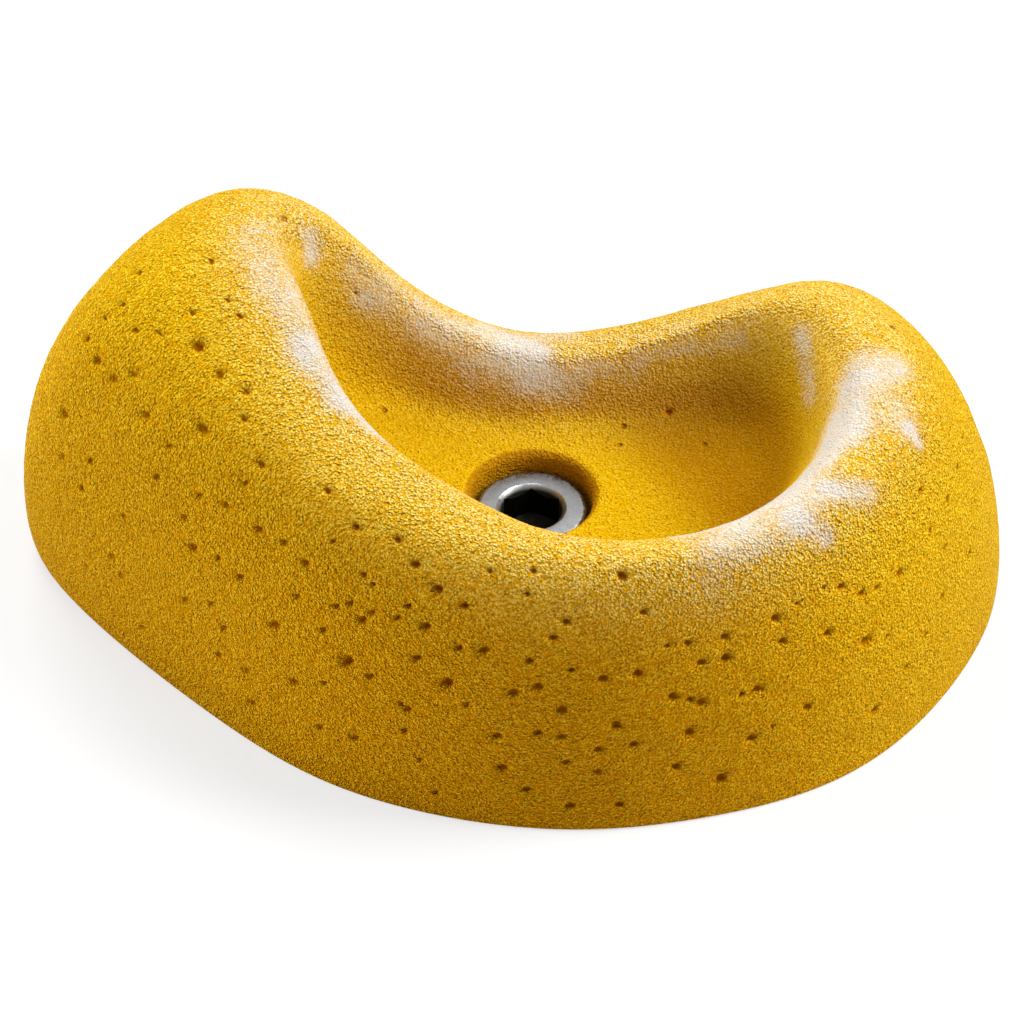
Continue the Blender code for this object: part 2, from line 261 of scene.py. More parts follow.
def cloud(points, size, seed):
    """Smooth random values from 0 to 1.

    A lattice of random numbers has the given spacing. The eight of them round a point are
    mixed by how near they are, with eased weights, so that no lattice shows.
    """
    count = 64
    lattice = np.random.default_rng(seed).random((count, count, count))
    place = points / size
    cell = np.floor(place).astype(int)
    part = place - cell
    part = part * part * (3 - 2 * part)
    total = np.zeros(points.shape[:-1])
    for corner in np.ndindex(2, 2, 2):
        index = (cell + np.array(corner)) % count
        weight = np.where(np.array(corner) == 1, part, 1 - part).prod(axis=-1)
        total += weight * lattice[index[..., 0], index[..., 1], index[..., 2]]
    return total


def eased(value, low, high):
    """0 below low, 1 above high, and in between three times the square less twice the cube."""
    part = np.clip((value - low) / (high - low), 0, 1)
    return part * part * (3 - 2 * part)


def facing(grid):
    """Normals out of the resin: a step round the hold, crossed with a step up or inward."""
    along = np.roll(grid, -1, axis=1) - np.roll(grid, 1, axis=1)
    upward = np.gradient(grid, axis=0)
    normal = np.cross(along, upward)
    return normal / np.linalg.norm(normal, axis=-1, keepdims=True)


# Pinholes as the photograph shows them: pixels right, pixels down, and width in pixels
PINHOLES_IN_PHOTO = [
    (214, 261, 7), (229, 299, 5), (240, 316, 6), (190, 314, 7), (196, 347, 12), (218, 374, 8),
    (246, 390, 7), (243, 420, 7), (203, 430, 10), (123, 303, 6), (103, 318, 5), (137, 330, 6),
    (160, 332, 5), (88, 340, 6), (98, 361, 9), (115, 380, 7), (135, 376, 6), (63, 413, 9),
    (147, 417, 8), (167, 446, 6), (60, 457, 5), (90, 461, 8), (155, 475, 8), (79, 487, 8),
    (260, 464, 7), (244, 484, 6), (201, 498, 6), (228, 505, 7), (125, 516, 5), (182, 517, 6),
    (259, 530, 7), (190, 548, 10), (216, 558, 7), (113, 558, 6), (86, 567, 4), (122, 577, 5),
    (240, 578, 8), (187, 599, 6), (210, 605, 5), (225, 627, 6), (143, 627, 6), (220, 656, 7),
    (247, 672, 7), (275, 625, 9), (296, 683, 8), (253, 704, 7), (326, 683, 6), (347, 661, 12),
    (370, 678, 7), (335, 607, 7), (352, 603, 7), (364, 622, 8), (371, 612, 6), (305, 564, 7),
    (296, 596, 6), (284, 542, 6), (332, 540, 5), (356, 527, 8), (397, 540, 7), (363, 573, 6),
    (374, 585, 5), (417, 566, 8), (438, 588, 10), (428, 628, 9), (411, 606, 6), (397, 618, 6),
    (415, 658, 7), (407, 711, 7), (406, 731, 6), (318, 728, 6), (356, 738, 7), (323, 629, 6),
    (398, 703, 5), (418, 760, 5), (464, 608, 8), (458, 648, 7), (484, 651, 8), (445, 684, 11),
    (465, 706, 5), (528, 662, 7), (554, 637, 7), (567, 623, 7), (570, 671, 6), (539, 687, 8),
    (512, 694, 8), (562, 712, 8), (601, 680, 8), (639, 674, 9), (623, 576, 10), (642, 613, 6),
    (689, 644, 7), (723, 638, 7), (727, 658, 10), (703, 662, 7), (674, 696, 8), (688, 700, 6),
    (704, 703, 9), (739, 697, 7), (617, 727, 9), (635, 746, 7), (691, 734, 10), (753, 740, 9),
    (540, 734, 7), (562, 737, 7), (499, 737, 7), (599, 751, 7), (567, 762, 6), (599, 772, 6),
    (502, 768, 8), (526, 790, 7), (571, 805, 7), (618, 804, 7), (677, 767, 8), (721, 780, 11),
    (438, 793, 5), (534, 571, 6), (490, 571, 5), (528, 595, 5), (665, 646, 5), (667, 412, 7),
    (357, 293, 4), (892, 327, 5), (959, 466, 5), (920, 492, 7), (949, 499, 6), (931, 529, 6),
    (945, 548, 6), (969, 554, 8), (900, 574, 9), (942, 598, 8), (841, 588, 8), (862, 595, 8),
    (878, 589, 6), (795, 604, 5), (777, 618, 9), (784, 641, 8), (829, 633, 9), (866, 643, 11),
    (926, 634, 6), (888, 636, 5), (907, 666, 7), (761, 688, 8), (751, 693, 6), (809, 708, 8),
    (873, 711, 8), (774, 727, 4), (823, 588, 5), (140, 272, 7), (327, 490, 6),
]
PIXELS_PER_MM = 6.9
# A pinhole's radius is a little more than half the width that the photograph shows.
RADIUS_SHARE = 0.58
# What shows at a pixel lies this near to it in pixels, and this near to the front-most point.
SPOT_REACH = 6
SPOT_DEPTH = 6 * MM
# Pinholes keep a few rows away from the first and the last row of a stretch of skin.
ROW_MARGIN = 3
# Pinholes placed at random: how many, how far apart, and how many places are tried for each.
# Their radii are in millimetres, and the power makes small ones common.
UNSEEN_WALL_PINHOLES = 110
UNSEEN_BOWL_PINHOLES = 12
PINHOLE_SPACING = 2.4 * MM
PLACES_PER_PINHOLE = 6
UNSEEN_RADII = (0.26, 0.62)
UNSEEN_RADIUS_POWER = 2.2
# Their least chance, and the heights in millimetres where it is least and where it is full:
# the outer wall has more of them low down, and the bowl more up on its wall.
WALL_CHANCE = (0.25, 50, 28)
BOWL_CHANCE = (0.2, 28, 40)
# How far the grid moves toward a pinhole, as a share of the step to it
PULL = 0.62
PULL_REACH = 1.1 * MM
PULL_FADE_ROWS = 5
# The dent's flat middle and its rim, and its depth, as shares of the pinhole's radius
DENT_MIDDLE = 0.25
DENT_RIM = 1.2
DENT_DEPTH = 1.2
DENT_LEAST_DEPTH = 0.1 * MM
# Clouds: spacing, full range and seed. Two lift and lower the skin, and one, whose range is
# a share of the radius, makes the pinholes' rims uneven.
FINE_RELIEF = (1.3 * MM, 0.10 * MM, 11)
BROAD_RELIEF = (6 * MM, 0.22 * MM, 12)
UNEVEN_RIM = (0.7 * MM, 0.5, 13)
RELIEF_FADE_ROWS = 6


def towards_camera(grid, normals):
    """The way to the camera along the normal: below zero, the skin faces away from it."""
    return ((np.array(CAMERA_PLACE) - grid) * normals).sum(axis=-1)


def shown_at(stretches, right, down):
    """Which stretch of skin shows at a pixel, and at which row and column of its grid.

    Points count that are close to the pixel and on skin that faces the camera. The stretch
    whose front-most one is the nearest is what shows.
    """
    spots = []
    for number, (grid, normals) in enumerate(stretches):
        across, below, far = in_photo(grid)
        off = np.hypot(across - right, below - down)
        close = (towards_camera(grid, normals) > 0) & (off < SPOT_REACH)
        if close.any():
            front = far[close].min()
            off = np.where(close & (far < front + SPOT_DEPTH), off, np.inf)
            spots.append((front, number, np.unravel_index(off.argmin(), off.shape)))
    return min(spots)[1:]


def pinhole_radius(width):
    """A pinhole's radius, from its width in pixels."""
    return width * RADIUS_SHARE / PIXELS_PER_MM * MM


def even_grid(surface, first, row_count, column_count):
    """A stretch of skin with even steps: its shares, its points and their normals."""
    shares = even_shares(surface, first, row_count)
    rows, columns = np.indices((row_count + 1, column_count))
    grid = surface(columns * (len(STATIONS) / column_count), shares[rows])
    return shares, grid, facing(grid)


def spots_in_photo(stretches):
    """The photograph's pinholes on each stretch of skin: width in pixels, and row and column."""
    found = [[] for _ in stretches]
    for right, down, width in PINHOLES_IN_PHOTO:
        number, place = shown_at(stretches, right, down)
        found[number].append((width, place))
    return found


def drawn_in(rows, columns, holes, grid):
    """Grid places pulled toward each pinhole, so that the mesh is fine where it is needed.

    Every place moves toward a hole by a share of its step from it. The share falls with
    distance as a bell curve, and fades out at the first and last rows.
    """
    height, width = rows.shape
    fade = np.clip(np.minimum(rows, height - 1 - rows) / PULL_FADE_ROWS, 0, 1)
    row_shift, column_shift = np.zeros(rows.shape), np.zeros(rows.shape)
    for row, column, _ in holes:
        next_row, row_before = grid[min(row + 1, height - 1), column], grid[row - 1, column]
        next_column = grid[row, (column + 1) % width]
        row_step = np.linalg.norm(next_row - row_before) / 2
        column_step = np.linalg.norm(next_column - grid[row, column])
        up = row - rows
        aside = (column - columns + width / 2) % width - width / 2
        off_squared = (up * row_step) ** 2 + (aside * column_step) ** 2
        bell = np.exp(-off_squared / (2 * PULL_REACH**2))
        row_shift += up * bell
        column_shift += aside * bell
    return rows + PULL * row_shift * fade, columns + PULL * column_shift * fade


def drawn_to_pinholes(surface, even, spots, chances, more, seed):
    """One stretch of the casting's skin, its mesh drawn in toward the pinholes.

    Those of the photograph come first. More are placed at random on the skin that faces away
    from the camera, and none of these lies close to another. Returns the points, their
    normals, and each pinhole's centre and radius.
    """
    shares, grid, normals = even
    height, width = grid.shape[:2]
    last = height - 1
    rows, columns = np.indices((height, width))
    holes = []
    for pixels, (row, column) in spots:
        if ROW_MARGIN < row <= last - ROW_MARGIN:
            holes.append((row, column, pinhole_radius(pixels)))
    dice = np.random.default_rng(seed)
    area = np.linalg.norm(np.roll(grid, -1, axis=1) - grid, axis=2)
    unseen = towards_camera(grid, normals) < 0
    open_to_dice = unseen & (rows > ROW_MARGIN + 1) & (rows < last - ROW_MARGIN)
    least, low, high = chances
    chance = least + (1 - least) * eased(grid[..., 2] / MM, low, high)
    chance = np.where(open_to_dice, area * chance, 0)
    chance = (chance / chance.sum()).ravel()
    order = dice.choice(chance.size, size=more * PLACES_PER_PINHOLE, replace=False, p=chance)
    wanted = len(holes) + more
    for number in order:
        if len(holes) >= wanted:
            break
        row, column = divmod(int(number), width)
        taken = np.array([grid[hole[0], hole[1]] for hole in holes])
        gaps = np.linalg.norm(taken - grid[row, column], axis=1)
        if gaps.min() < PINHOLE_SPACING:
            continue
        size = between(*UNSEEN_RADII, dice.random() ** UNSEEN_RADIUS_POWER) * MM
        holes.append((row, column, size))
    pulled_rows, pulled_columns = drawn_in(rows, columns, holes, grid)
    fine_shares = np.interp(pulled_rows, np.arange(height), shares)
    grid = surface(pulled_columns * (len(STATIONS) / width), fine_shares)
    centres = [(grid[row, column], radius) for row, column, radius in holes]
    return grid, facing(grid), centres


def relief(points, spacing, full_range, seed):
    """How far a cloud lifts or lowers each point: its value less a half, times the range."""
    return (cloud(points, spacing, seed) - 0.5) * full_range


def dented(grid, normals, centres, fade):
    """The skin with its sand relief and its pinholes, and how deep each point is in a hole.

    Two clouds lift and lower the skin a little. A pinhole is a steep round dent, deepest in
    its middle, that fades out just past its radius.
    """
    lift = relief(grid, *FINE_RELIEF) + relief(grid, *BROAD_RELIEF)
    uneven = 1 + relief(grid, *UNEVEN_RIM)
    deep = np.zeros(grid.shape[:2])
    hollow = np.zeros(grid.shape[:2])
    for centre, radius in centres:
        off = np.linalg.norm(grid - centre, axis=-1) / (radius * uneven)
        dent = 1 - eased(off, DENT_MIDDLE, DENT_RIM)
        hollow = np.maximum(hollow, dent * (radius * DENT_DEPTH + DENT_LEAST_DEPTH))
        deep = np.maximum(deep, dent)
    return grid + normals * ((lift - hollow) * fade)[..., None], deep


half, quarter = COLUMNS // 2, COLUMNS // 4
even_wall = even_grid(outer_wall, EDGE_SHARE, WALL_ROWS, COLUMNS)
even_bowl = even_grid(bowl_wall, 0.0, BOWL_ROWS, half)
wall_spots, bowl_spots = spots_in_photo([even_wall[1:], even_bowl[1:]])
wall_grid, wall_normals, wall_holes = drawn_to_pinholes(
    outer_wall, even_wall, wall_spots, WALL_CHANCE, UNSEEN_WALL_PINHOLES, seed=21
)
bowl_grid, bowl_normals, bowl_holes = drawn_to_pinholes(
    bowl_wall, even_bowl, bowl_spots, BOWL_CHANCE, UNSEEN_BOWL_PINHOLES, seed=22
)
wall_fade = np.clip(np.arange(WALL_ROWS + 1) / RELIEF_FADE_ROWS, 0, 1)[:, None]
bowl_fade = np.ones((BOWL_ROWS + 1, 1))
wall_grid, wall_deep = dented(wall_grid, wall_normals, wall_holes, wall_fade)
bowl_grid, bowl_deep = dented(bowl_grid, bowl_normals, bowl_holes, bowl_fade)

rings = []
depths = []


def add_ring(points, deep=None):
    """Keep one ring of points, and how deep each lies in a pinhole."""
    rings.append(points)
    depths.append(np.zeros(len(points)) if deep is None else deep)


# The back's edge is a quarter round, as big as the first row of the wall is high.
where = np.arange(COLUMNS) * len(STATIONS) / COLUMNS
edge_foot = wall_grid[0]
_, edge_outward = guide(where)
for step in range(EDGE_ROWS):
    angle = math.pi / 2 * step / EDGE_ROWS
    inset = edge_foot[:, 2] * (1 - math.sin(angle))
    plan = edge_foot[:, :2] - edge_outward * inset[:, None]
    add_ring(np.column_stack([plan, edge_foot[:, 2] * (1 - math.cos(angle))]))
for row in range(WALL_ROWS + 1):
    add_ring(wall_grid[row], wall_deep[row])
for row in range(1, BOWL_ROWS + 1):
    add_ring(bowl_grid[row], bowl_deep[row])

# The floor, then the brim, the recess, the washer's room and the bore, turned round the axis
floor_where = np.arange(quarter) * len(STATIONS) / quarter
for step in range(1, FLOOR_ROWS + 1):
    level = bowl_floor(floor_where, np.full(quarter, step / FLOOR_ROWS))
    lift = relief(level, *FINE_RELIEF) * (1 - step / FLOOR_ROWS)
    add_ring(level + np.array([0, 0, 1]) * lift[:, None])
around = rings[-1][:, :2] / np.linalg.norm(rings[-1][:, :2], axis=1)[:, None]
bore_profile = [
    (
        BRIM_OUTER_RADIUS + BRIM_RADIUS * math.cos(angle),
        FLOOR_HEIGHT - BRIM_RADIUS * (1 - math.sin(angle)),
    )
    for angle in np.linspace(math.pi / 2, math.pi, BRIM_POINTS)
]
recess_heights = np.linspace(FLOOR_HEIGHT - BRIM_RADIUS, WASHER_ROOM_TOP, RECESS_POINTS)
bore_profile += [(RECESS_RADIUS, height) for height in recess_heights[1:]]
bore_profile += [
    (WASHER_ROOM_RADIUS, WASHER_ROOM_TOP),
    (WASHER_ROOM_RADIUS, WASHER_ROOM_FOOT),
    (BORE_RADIUS, WASHER_ROOM_FOOT),
    (BORE_RADIUS, WASHER_ROOM_FOOT / 2),
    (BORE_RADIUS, BORE_MOUTH),
    (BORE_RADIUS + BORE_MOUTH, 0),
]
for radius, height in bore_profile:
    add_ring(np.column_stack([around * radius, np.full(quarter, height)]))

# The flat back, from the bore's mouth out to the edge
mouth = rings[-1]
outline = rings[0]
back_start = len(rings)
for share in BACK_SHARES:
    add_ring(mouth + (outline[::4] - mouth) * share)
add_ring(outline[::2] * LAST_BACK_SHARE)


def ring_faces(first, first_count, second, second_count):
    """Faces between two neighbouring rings, each given by its first point and its count.

    The counts are the same, or one is twice the other, or one is 1.
    """
    few, many = sorted((first_count, second_count))
    i = np.arange(many if few == 1 else few)
    j = (i + 1) % len(i)
    a, b, c = 2 * i, 2 * i + 1, (2 * i + 2) % many
    if few == many:
        parts = [(first + i, first + j, second + j, second + i)]
    elif first_count == 1:
        parts = [(first, second + j, second + i)]
    elif second_count == 1:
        parts = [(first + i, first + j, second)]
    elif first_count > second_count:
        parts = [(first + a, first + b, second + i), (first + b, second + j, second + i),
                 (first + b, first + c, second + j)]
    else:
        parts = [(first + i, first + j, second + b), (first + i, second + b, second + a),
                 (first + j, second + c, second + b)]
    faces = [np.column_stack(np.broadcast_arrays(*part)) for part in parts]
    return np.concatenate(faces).tolist()


def piece_from_rings(name, ring_list, closed):
    """A mesh whose rings are joined in order, and the last to the first if it is closed.

    Returns the object and the number of the ring that each face starts from.
    """
    counts = [len(ring) for ring in ring_list]
    starts = np.concatenate([[0], np.cumsum(counts)])[:-1]
    faces, origin = [], []
    last = len(ring_list) if closed else len(ring_list) - 1
    for k in range(last):
        m = (k + 1) % len(ring_list)
        new = ring_faces(starts[k], counts[k], starts[m], counts[m])
        faces += new
        origin += [k] * len(new)
    mesh = bpy.data.meshes.new(name)
    mesh.from_pydata(np.concatenate(ring_list).tolist(), [], faces)
    mesh.update()
    return new_object(name, mesh), np.array(origin)


resin, ring_of_face = piece_from_rings("cast_body", rings, closed=True)
resin.data.shade_smooth()
resin.data.set_sharp_from_angle(angle=SHARP_ANGLE)

# Chalk marks: from one spot of the photograph to another, in pixels, with the width of the
# mark in millimetres and how much chalk is on it
CHALK_MARKS = [
    ((255, 232), (262, 262), 4.5, 0.35), ((262, 262), (285, 300), 5, 0.35),
    ((290, 285), (312, 345), 3, 0.45), ((308, 345), (345, 400), 3, 0.8),
    ((345, 400), (385, 440), 2.2, 0.8), ((310, 236), (312, 256), 1.6, 0.8),
    ((350, 268), (362, 300), 2.2, 0.4), ((385, 300), (420, 330), 3.5, 0.3),
    ((425, 328), (462, 366), 3.2, 0.28), ((462, 330), (500, 350), 3.2, 0.38),
    ((508, 340), (540, 348), 2.4, 1), ((500, 360), (535, 375), 3, 0.55),
    ((535, 372), (575, 385), 3, 0.4), ((480, 385), (560, 395), 2.5, 0.2),
    ((585, 365), (632, 372), 2.5, 0.35), ((640, 356), (740, 343), 1.6, 0.3),
    ((802, 334), (811, 396), 2.4, 0.5),
    ((862, 362), (892, 366), 3.5, 0.7), ((855, 390), (842, 430), 4.4, 0.8),
    ((840, 425), (800, 482), 3.2, 1), ((800, 482), (738, 518), 3.4, 1),
    ((738, 518), (684, 536), 2.4, 0.95), ((820, 492), (868, 495), 2.2, 0.75),
    ((798, 515), (824, 538), 1.8, 0.8), ((910, 430), (919, 443), 1.1, 1),
    ((790, 515), (720, 545), 4.2, 0.65), ((703, 555), (714, 600), 3.5, 0.2),
    ((880, 385), (905, 425), 3.8, 0.45),
    ((300, 215), (400, 290), 5, 0.15), ((400, 290), (470, 325), 4, 0.25),
    ((470, 325), (560, 335), 3.2, 0.36), ((560, 338), (740, 326), 3.2, 0.25),
]

# Chalk is patchy: a share of it is always there, and two clouds, each with its spacing and
# its seed, add to that.
CHALK_LEAST = 0.78
CHALK_MORE = 0.7
PATCHES = (3.2 * MM, 31)
SPECKS = (1.2 * MM, 32)
FILM_AND_SHEEN_REACH = 8.5 * MM
CREST_STEP = 6

# Pinholes of the photograph that lie on the crest line or on the floor, where the mesh isn't
# drawn in toward them. The material makes these.
PINHOLES_IN_MATERIAL = [(284, 220, 8), (384, 409, 6), (624, 426, 6), (619, 444, 5), (701, 449, 5)]


skin = ((wall_grid, wall_normals), (bowl_grid, bowl_normals))


def spot_on_skin(right, down):
    """The point of the skin that shows at a pixel."""
    number, place = shown_at(skin, right, down)
    return skin[number][0][place]


skin_points = np.concatenate(rings)
bare = np.ones(len(skin_points))
for start, end, width, amount in CHALK_MARKS:
    first, second = spot_on_skin(*start), spot_on_skin(*end)
    line = second - first
    part = np.clip(((skin_points - first) @ line) / (line @ line), 0, 1)
    off = np.linalg.norm(skin_points - (first + part[:, None] * line), axis=1)
    bare *= 1 - amount * np.exp(-((off / (width * MM)) ** 2))
patches, specks = cloud(skin_points, *PATCHES), cloud(skin_points, *SPECKS)
patchy = CHALK_LEAST + CHALK_MORE * patches * (0.5 + specks)
chalk = np.clip((1 - bare) * patchy, 0, 1)

# Hands rub a pale film onto the crest, and painted sheen adds to it there. With the distance
# from the crest line it dies away as a bell curve, and about a centimetre off, three quarters
# of it is gone.
off_squared = np.full(len(skin_points), np.inf)
for point in wall_grid[-1][::CREST_STEP]:
    off_squared = np.minimum(off_squared, ((skin_points - point) ** 2).sum(axis=1))
crest_film_and_sheen = np.exp(-off_squared / FILM_AND_SHEEN_REACH**2)

# Painted light: the resin is paler on the sides that face right, away, left, and up on the
# right, where the light falls, and keeps its shaded colour, painted shade, elsewhere. Each row
# is such a way, as x, y and z, and how much it counts.
PAINTED_LIGHT_WAYS = [
    (0.82, 0.0, 0.57, 0.77),
    (0.0, 0.82, 0.57, 0.86),
    (-0.94, 0.0, 0.34, 0.76),
    (0.5, -0.15, 0.85, 0.7),
]
FULLY_PAINTED_LIT = 1.3
# The bowl has painted shade: darker colours, which take over down its wall. Painted light
# makes its two side walls and its floor paler than the far wall, but a painted shadow of the
# right lobe keeps the floor darker past a slanted line.
BOWL_COLOUR_SHARES = (0.05, 0.4)
LEFT_WALL_PALE = (12 * MM, 28 * MM)
RIGHT_WALL_PALE = (10 * MM, 30 * MM)
RIGHT_WALL_FADE = (0.5, 0.85)
FLOOR_PALE_SHARES = (0.72, 1.0)
FLOOR_PALENESS = 0.9
LOBE_SHADOW_SLANT = 0.5
LOBE_SHADOW_EDGE = (13 * MM, 27 * MM)
BRIM_ROWS_AS_FLOOR = 3

ring_starts = np.cumsum([0] + [len(ring) for ring in rings])
first_bowl_ring = EDGE_ROWS + WALL_ROWS + 1
first_floor_ring = first_bowl_ring + BOWL_ROWS
bowl_start, floor_start = ring_starts[first_bowl_ring], ring_starts[first_floor_ring]
recess_start = ring_starts[first_floor_ring + FLOOR_ROWS + BRIM_ROWS_AS_FLOOR]
on_wall = slice(ring_starts[EDGE_ROWS], bowl_start)
on_bowl, on_floor = slice(bowl_start, floor_start), slice(floor_start, recess_start)
facing_out = np.zeros((len(skin_points), 3))
facing_out[on_wall] = wall_normals.reshape(-1, 3)
facing_out[on_bowl] = bowl_normals[1:].reshape(-1, 3)
# How much painted light each point gets, by the way it faces
light = sum(power * np.maximum(facing_out @ np.array(way), 0) for *way, power in PAINTED_LIGHT_WAYS)
share_down = np.repeat(np.linspace(0, 1, BOWL_ROWS), half)
bowl_share = np.zeros(len(skin_points))
bowl_share[on_bowl] = eased(share_down, *BOWL_COLOUR_SHARES)
bowl_share[floor_start:] = 1
painted_light = eased(light, 0.0, FULLY_PAINTED_LIT) * (1 - bowl_share)
# The right lobe's painted shadow on the bowl's floor, past a slanted line
in_painted_lobe_shadow = eased(skin_points[:, 0] + LOBE_SHADOW_SLANT * skin_points[:, 1], *LOBE_SHADOW_EDGE)
# Painted light on the bowl's side walls and floor, but not in the painted shadow
across = skin_points[on_bowl, 0]
painted_light[on_bowl] += (
    eased(-across, *LEFT_WALL_PALE)
    + eased(across, *RIGHT_WALL_PALE) * (1 - eased(share_down, *RIGHT_WALL_FADE))
    + FLOOR_PALENESS * eased(share_down, *FLOOR_PALE_SHARES) * (1 - in_painted_lobe_shadow[on_bowl])
)
painted_light[on_floor] = FLOOR_PALENESS * (1 - in_painted_lobe_shadow[on_floor])
layers = {
    "chalk": chalk,
    "crest_film_and_sheen": crest_film_and_sheen,
    "pinhole": np.concatenate(depths),
    "painted_light": np.clip(painted_light, 0, 1),
    "bowl": bowl_share,
}
for name, values in layers.items():
    layer = resin.data.attributes.new(name, "FLOAT", "POINT")
    layer.data.foreach_set("value", values.astype(np.float32))


def fill(tree, target, inputs):
    """Give a node its inputs, by name or number. Each is a value or another's output."""
    for name, value in inputs.items():
        socket = target.inputs[name]
        if isinstance(value, bpy.types.NodeSocket):
            tree.links.new(value, socket)
        else:
            socket.default_value = value


def node(tree, kind, inputs, **settings):
    """A new shader node with its settings and inputs."""
    new = tree.nodes.new(kind)
    for name, value in settings.items():
        setattr(new, name, value)
    fill(tree, new, inputs)
    return new


def math_node(tree, operation, first, second=0.0, third=0.0):
    """A sum, product or the like of two or three values."""
    inputs = {0: first, 1: second, 2: third}
    return node(tree, "ShaderNodeMath", inputs, operation=operation).outputs[0]


def ramp(tree, value, low, high, bottom=0.0, top=1.0):
    """The value carried from one range to another by a smooth step, and held at its ends."""
    inputs = {"Value": value, "From Min": low, "From Max": high, "To Min": bottom, "To Max": top}
    step = node(tree, "ShaderNodeMapRange", inputs, interpolation_type="SMOOTHSTEP")
    return step.outputs["Result"]


def mix_colour(tree, share, first, second, blend="MIX"):
    """One colour laid over another by a share, or multiplied by it."""
    inputs = {0: share, 6: first, 7: second}
    return node(tree, "ShaderNodeMix", inputs, data_type="RGBA", blend_type=blend).outputs[2]


def object_place(tree):
    """Each point's own place on its object, in metres."""
    return node(tree, "ShaderNodeTexCoord", {}).outputs["Object"]


def noise(tree, place, scale, detail):
    """Soft random values. The scale says how many lumps fit in a metre."""
    inputs = {"Vector": place, "Scale": scale, "Detail": detail}
    return node(tree, "ShaderNodeTexNoise", inputs).outputs[0]


def cells(tree, place, scale):
    """A node with random cells: the distance from each one's middle, and a colour for it."""
    return node(tree, "ShaderNodeTexVoronoi", {"Vector": place, "Scale": scale})


def new_material(name):
    """An empty material with a Principled shader."""
    material = bpy.data.materials.new(name)
    material.use_nodes = True
    tree = material.node_tree
    return material, tree, tree.nodes["Principled BSDF"]


def bump(tree, height, distance, strength=1.0):
    """A bumped normal. The distance is what one unit of height stands for."""
    inputs = {"Height": height, "Strength": strength, "Distance": distance}
    return node(tree, "ShaderNodeBump", inputs).outputs[0]


# Painted shade and painted light: the resin's shaded and lit colours, then the bowl's darker
# painted shade and its paler lit colour
RESIN_SHADED = (0.80, 0.38, 0.001, 1)
RESIN_PAINTED_LIT = (0.88, 0.54, 0.003, 1)
RESIN_BOWL_PAINTED_SHADE = (0.43, 0.205, 0.001, 1)
RESIN_BOWL_PAINTED_LIT = (0.625, 0.38, 0.002, 1)
# The crest's pale coat from hands, with painted sheen
RESIN_RUBBED_AND_SHEEN = (0.76, 0.535, 0.08, 1)
# Painted shade inside the pinholes, the pricks and the ground's bubbles
RESIN_PAINTED_PIT_SHADE = (0.45, 0.17, 0.001, 1)
# Painted shade in the grain's hollows, and painted highlights on its tops, most in the blue
GRAIN_FOOT_PAINTED_SHADE = (0.83, 0.66, 0.1, 1)
GRAIN_TOP_PAINTED_HIGHLIGHT = (1.11, 1.26, 4.0, 1)
NO_TINT = (1, 1, 1, 1)
CHALK_WHITE = (0.585, 0.575, 0.56, 1)
RUBBED_AND_SHEEN_MOST = 0.65
BOWL_TINT_LOSS = 0.5
RESIN_ROUGHNESS = 0.6
RESIN_SHEEN = 0.01

# The sand grain: cells with a tone each, finer grit, wider lumps, and small pricks. Scales
# are multiples of the grain's own, and heights are what each adds to the relief.
GRAIN_SIZE = 0.37 * MM
GRAIN_HEIGHT = 0.62 * MM
GRIT_SCALE, LUMP_SCALE, PRICK_SCALE = 1.1, 0.38, 0.5
CELL_HEIGHT, TONE_HEIGHT, LUMP_HEIGHT, PRICK_HEIGHT = -0.9, 0.35, 1.2, -0.4
PRICK_EDGE = (0.28, 0.15)
PRICK_SHADE = 0.8
GRAIN_TOP = 0.6
# Where a layer is on, less of the relief is left: the layer, the range of its values over
# which the relief falls, and the share that is left.
RELIEF_LEFT = [
    ("bowl", 0.0, 0.5, 0.36),
    ("crest_film_and_sheen", 0.2, 1.0, 0.65),
    ("pinhole", 0.0, 0.6, 0.15),
    ("chalk", 0.2, 1.0, 0.55),
]
# The height of the material's own pinholes. All get painted shade by their depth: two depths,
# and the shares of painted shade there.
PINHOLE_HEIGHT = -1.0
PINHOLE_SHADE = (0.1, 0.6, 0.0, 0.9)
# Chalk shows from a threshold on, first on the grain's tops, which it covers best. Little of
# it lies in a pinhole. Four numbers are two values, and the shares of chalk there.
CHALK_THRESHOLD = -0.3
CHALK_ON_TOPS = 0.3
CHALK_SHOWS = (-0.12, 1.0)
CHALK_COVER = (0.0, 1.0, 0.82, 0.97)
CHALK_IN_PINHOLE = (0.0, 0.6, 1.0, 0.2)

cast, tree, shader = new_material("cast_resin_sand_texture")
place = object_place(tree)
# How much of each layer is on, at each point
on = {
    name: node(tree, "ShaderNodeAttribute", {}, attribute_name=name).outputs["Fac"]
    for name in layers
}
cell = cells(tree, place, 1 / GRAIN_SIZE)
tone = node(tree, "ShaderNodeSeparateColor", {"Color": cell.outputs["Color"]}).outputs[0]
grit = noise(tree, place, GRIT_SCALE / GRAIN_SIZE, detail=1.0)
lumps = noise(tree, place, LUMP_SCALE / GRAIN_SIZE, detail=1.0)
prick = cells(tree, place, PRICK_SCALE / GRAIN_SIZE).outputs["Distance"]
pricks = ramp(tree, prick, *PRICK_EDGE)
grain = math_node(tree, "MULTIPLY_ADD", cell.outputs["Distance"], CELL_HEIGHT, grit)
grain = math_node(tree, "MULTIPLY_ADD", tone, TONE_HEIGHT, grain)
height = math_node(tree, "MULTIPLY_ADD", lumps, LUMP_HEIGHT, grain)
height = math_node(tree, "MULTIPLY_ADD", pricks, PRICK_HEIGHT, height)
strength = 1.0
for name, low, high, left in RELIEF_LEFT:
    strength = math_node(tree, "MULTIPLY", strength, ramp(tree, on[name], low, high, 1.0, left))
height = math_node(tree, "MULTIPLY", height, strength)

